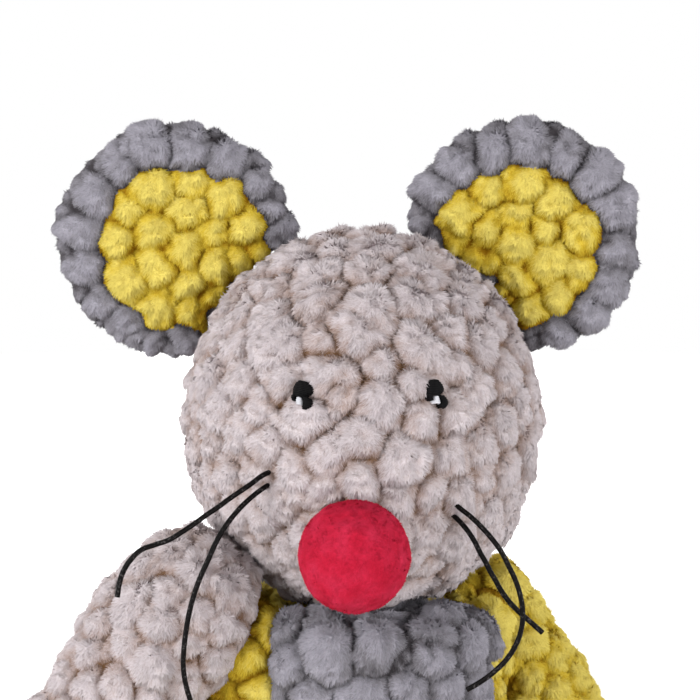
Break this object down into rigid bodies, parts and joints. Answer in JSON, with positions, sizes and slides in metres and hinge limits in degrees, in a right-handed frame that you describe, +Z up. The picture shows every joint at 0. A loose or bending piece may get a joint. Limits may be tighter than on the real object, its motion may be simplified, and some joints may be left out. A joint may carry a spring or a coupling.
{
  "type": "plush mouse dog toy",
  "caption": "Sitting stuffed mouse of knobbly plush with round dished ears, a ball nose, cord whiskers, jointed soft limbs and a squeaker in its belly.",
  "frame": {"origin": "under the middle of the seat, on the surface that the toy sits on", "axes": "+Z up; the toy's body faces -Y, its own left is +X, and its head looks 22 degrees to its right"},
  "size_m": [0.211, 0.2522, 0.2329],
  "materials": {
    "beige_plush": "knobbly plush, matt",
    "grey_plush": "knobbly plush, matt",
    "yellow_plush": "knobbly plush, matt",
    "red_fleece": "short fleece, matt",
    "polyester_fill": "loose fibre, matt",
    "sewing_thread": "thread",
    "black_embroidery": "satin stitch, slight sheen",
    "white_embroidery": "satin stitch, slight sheen",
    "waxed_cord": "waxed, semi-gloss",
    "squeaker_plastic": "soft moulded plastic"
  },
  "bodies": {
    "torso": {"belly_panel": "grey_plush", "left_side_panel": "yellow_plush", "right_side_panel": "yellow_plush", "back_panel": "grey_plush", "front_torso_stuffing": "polyester_fill", "back_torso_stuffing": "polyester_fill", "squeaker_base": "squeaker_plastic", "squeaker_bellows": "squeaker_plastic", "squeaker_reed": "squeaker_plastic"},
    "squeaker_cap": {"squeaker_cap": "squeaker_plastic"},
    "neck": {"neck_thread": "sewing_thread"},
    "head": {"face_panel": "beige_plush", "back_of_head_panel": "beige_plush", "head_stuffing": "polyester_fill", "nose_cover": "red_fleece", "nose_stuffing": "polyester_fill", "right_eye": "black_embroidery", "right_eye_glint": "white_embroidery", "left_eye": "black_embroidery", "left_eye_glint": "white_embroidery", "right_upper_whisker": "waxed_cord", "right_lower_whisker": "waxed_cord", "left_upper_whisker": "waxed_cord", "left_lower_whisker": "waxed_cord"},
    "right_ear": {"right_ear_front_ring": "grey_plush", "right_ear_patch": "yellow_plush", "right_ear_back": "grey_plush", "right_ear_pad": "polyester_fill"},
    "left_ear": {"left_ear_front_ring": "grey_plush", "left_ear_patch": "yellow_plush", "left_ear_back": "grey_plush", "left_ear_pad": "polyester_fill"},
    "right_arm": {"right_arm_skin": "beige_plush", "right_arm_stuffing": "polyester_fill"},
    "left_arm": {"left_arm_skin": "yellow_plush", "left_arm_stuffing": "polyester_fill"},
    "right_leg": {"right_leg_skin": "yellow_plush", "right_leg_stuffing": "polyester_fill"},
    "left_leg": {"left_leg_skin": "beige_plush", "left_leg_stuffing": "polyester_fill"},
    "tail": {"tail_skin": "beige_plush", "tail_stuffing": "polyester_fill"}
  },
  "joints": [
    {"name": "head_turn", "type": "hinge", "parent": "torso", "child": "neck", "pos_m": [0.004, -0.0016, 0.1], "axis": [0, 0, 1], "range_deg": [-6, 40], "stiffness_Nm_per_rad": 0.1},
    {"name": "head_nod", "type": "hinge", "parent": "neck", "child": "head", "pos_m": [0.004, -0.0016, 0.1], "axis": [0.9272, -0.3746, 0], "range_deg": [-9, 9], "stiffness_Nm_per_rad": 0.4},
    {"name": "right_ear_fold", "type": "hinge", "parent": "head", "child": "right_ear", "pos_m": [-0.03068, 0.02535, 0.18799], "axis": [-0.6394, 0.2583, -0.7241], "range_deg": [-15, 30], "stiffness_Nm_per_rad": 0.03},
    {"name": "left_ear_fold", "type": "hinge", "parent": "head", "child": "left_ear", "pos_m": [0.04486, -0.00517, 0.19128], "axis": [-0.6888, 0.2783, 0.6694], "range_deg": [-15, 30], "stiffness_Nm_per_rad": 0.03},
    {"name": "right_arm_raise", "type": "hinge", "parent": "torso", "child": "right_arm", "pos_m": [-0.04777, -0.008, 0.102], "axis": [0, 1, 0], "range_deg": [0, 60], "stiffness_Nm_per_rad": 0.03},
    {"name": "left_arm_raise", "type": "hinge", "parent": "torso", "child": "left_arm", "pos_m": [0.04488, 0, 0.097], "axis": [0, -1, 0], "range_deg": [0, 80], "stiffness_Nm_per_rad": 0.03},
    {"name": "right_leg_lift", "type": "hinge", "parent": "torso", "child": "right_leg", "pos_m": [-0.027, -0.03553, 0.0135], "axis": [-1, 0, 0], "range_deg": [0, 30], "stiffness_Nm_per_rad": 0.03},
    {"name": "left_leg_lift", "type": "hinge", "parent": "torso", "child": "left_leg", "pos_m": [0.027, -0.03553, 0.0135], "axis": [-1, 0, 0], "range_deg": [0, 30], "stiffness_Nm_per_rad": 0.03},
    {"name": "tail_swing", "type": "hinge", "parent": "torso", "child": "tail", "pos_m": [0, 0.03394, 0.007], "axis": [0, 0, 1], "range_deg": [-20, 20], "stiffness_Nm_per_rad": 0.01},
    {"name": "squeaker_press", "type": "slide", "parent": "torso", "child": "squeaker_cap", "axis": [0, 1, 0], "range_m": [0, 0.0045], "stiffness_N_per_m": 50, "deforming": ["squeaker_bellows"]}
  ]
}
